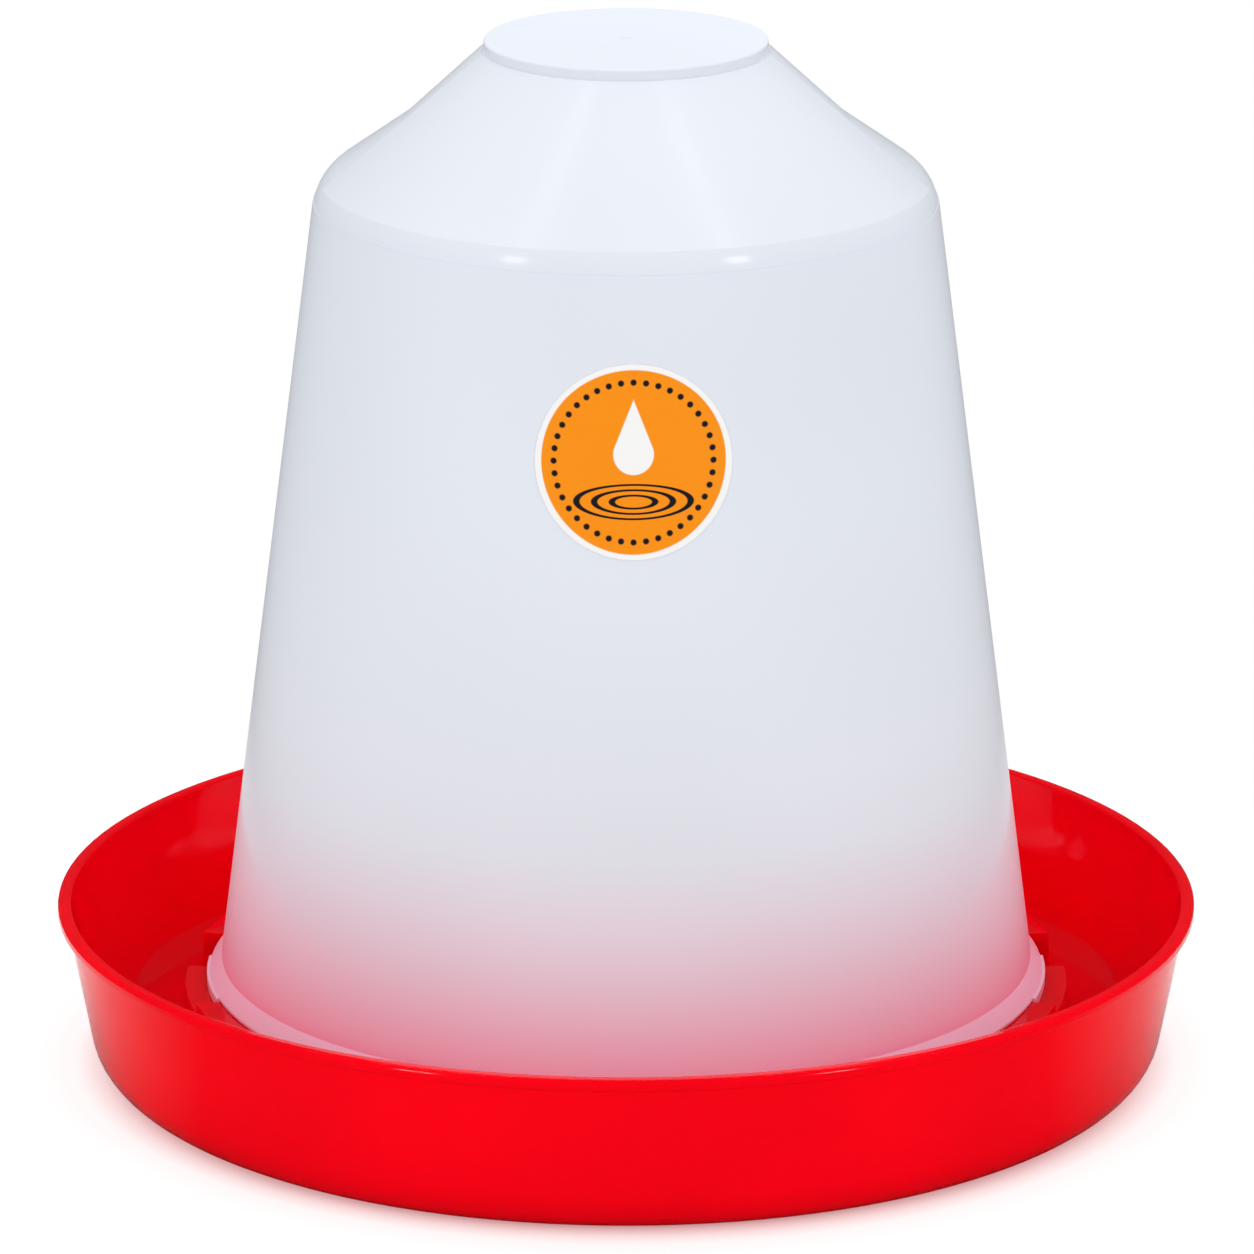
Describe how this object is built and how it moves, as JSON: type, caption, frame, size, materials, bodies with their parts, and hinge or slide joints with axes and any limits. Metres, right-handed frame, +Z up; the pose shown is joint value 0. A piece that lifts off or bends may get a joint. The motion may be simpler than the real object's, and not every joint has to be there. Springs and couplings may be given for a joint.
{
  "type": "poultry drinker",
  "caption": "Siphon drinker for poultry: a translucent water dome stands on a ring seat in a red drinking pan and keeps the trough round it filled.",
  "frame": {"origin": "middle of the standing plane under the pan, on the drinker's upright axis", "axes": "+Z up along the drinker's axis, -Y towards the label"},
  "size_m": [0.35, 0.35, 0.3205],
  "materials": {
    "pan": "bright red moulded polypropylene, glossy",
    "dome": "natural milky translucent polypropylene, smooth, thin enough for light to come through",
    "label": "round printed sticker with a white edge"
  },
  "bodies": {
    "root": {"drinking_pan": "pan", "water_dome": "dome", "round_label": "label"}
  },
  "joints": []
}
